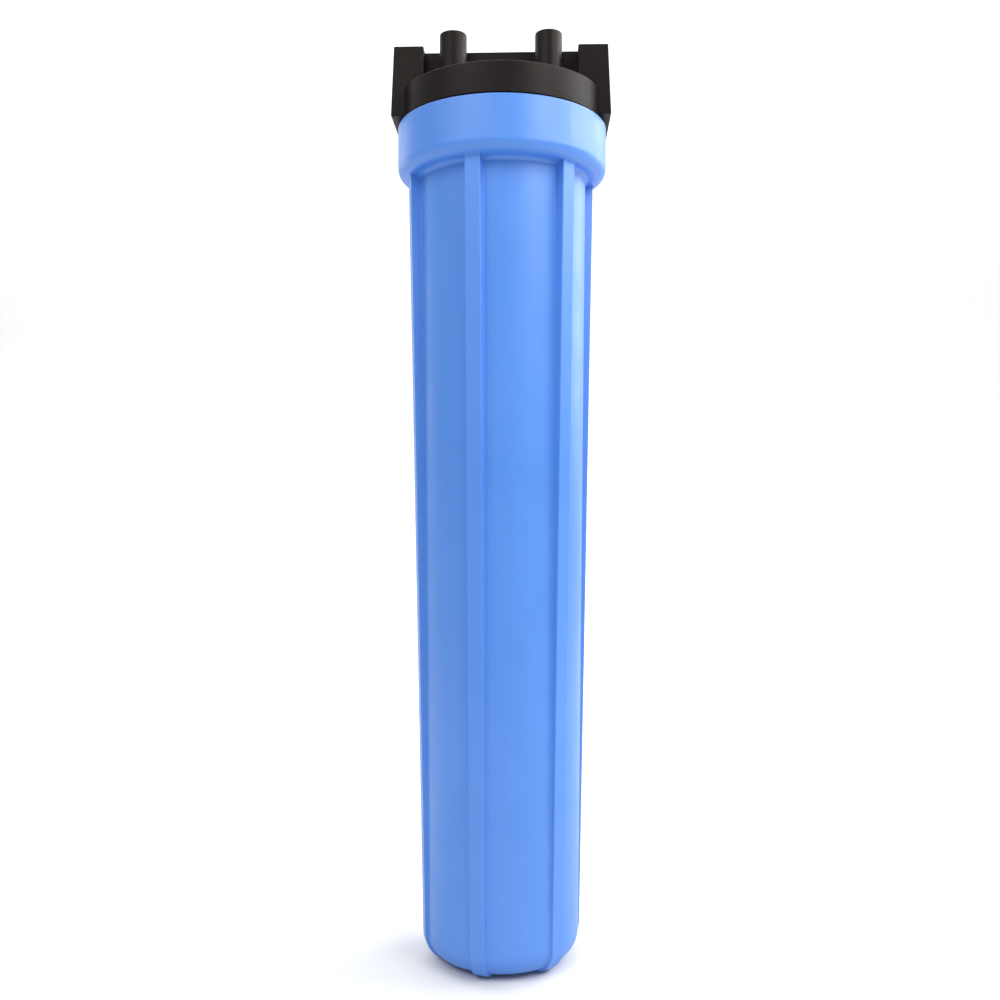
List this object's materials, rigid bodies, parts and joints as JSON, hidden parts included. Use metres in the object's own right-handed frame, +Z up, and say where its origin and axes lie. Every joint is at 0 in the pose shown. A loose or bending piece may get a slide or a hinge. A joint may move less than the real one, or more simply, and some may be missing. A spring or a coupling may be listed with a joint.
{
  "type": "cartridge filter housing",
  "caption": "Tall ribbed water filter housing: a blue sump screws up into a black head with side pipe ports and holds a pleated cartridge.",
  "frame": {"origin": "on the vertical axis, level with the undersides of the sump's feet", "axes": "+Z up along the housing's axis; the pipe ports lie on the X axis, inlet at -X and outlet at +X; -Y is the front"},
  "size_m": [0.1338, 0.13, 0.5674],
  "materials": {
    "head_black": "satin moulded polypropylene",
    "sump_blue": "satin moulded polypropylene",
    "seal_rubber": "smooth",
    "gasket_foam": "closed-cell foam",
    "end_cap_white": "satin",
    "core_white": "satin",
    "cage_white": "satin",
    "pleat_polyester": "spun-bonded non-woven"
  },
  "bodies": {
    "head": {"head_cap": "head_black"},
    "cartridge": {"bottom_gasket": "gasket_foam", "bottom_end_cap": "end_cap_white", "lower_core": "core_white", "lower_pleat_pack": "pleat_polyester", "lower_cage": "cage_white", "cartridge_joiner": "end_cap_white", "upper_core": "core_white", "upper_pleat_pack": "pleat_polyester", "upper_cage": "cage_white", "top_end_cap": "end_cap_white", "top_gasket": "gasket_foam"},
    "sump": {"sump": "sump_blue", "sump_o_ring": "seal_rubber"}
  },
  "joints": [
    {"name": "cartridge_drop", "type": "slide", "parent": "head", "child": "cartridge", "axis": [0, 0, -1], "range_m": [0, 0.0144]},
    {"name": "sump_unscrew", "type": "hinge", "parent": "cartridge", "child": "sump", "pos_m": [0, 0, 0], "axis": [0, 0, -1], "range_deg": [0, 990]}
  ],
  "couplings": [
    {"joint": "cartridge_drop", "follows": "sump_unscrew", "m_per_rad": 0.00082761}
  ]
}
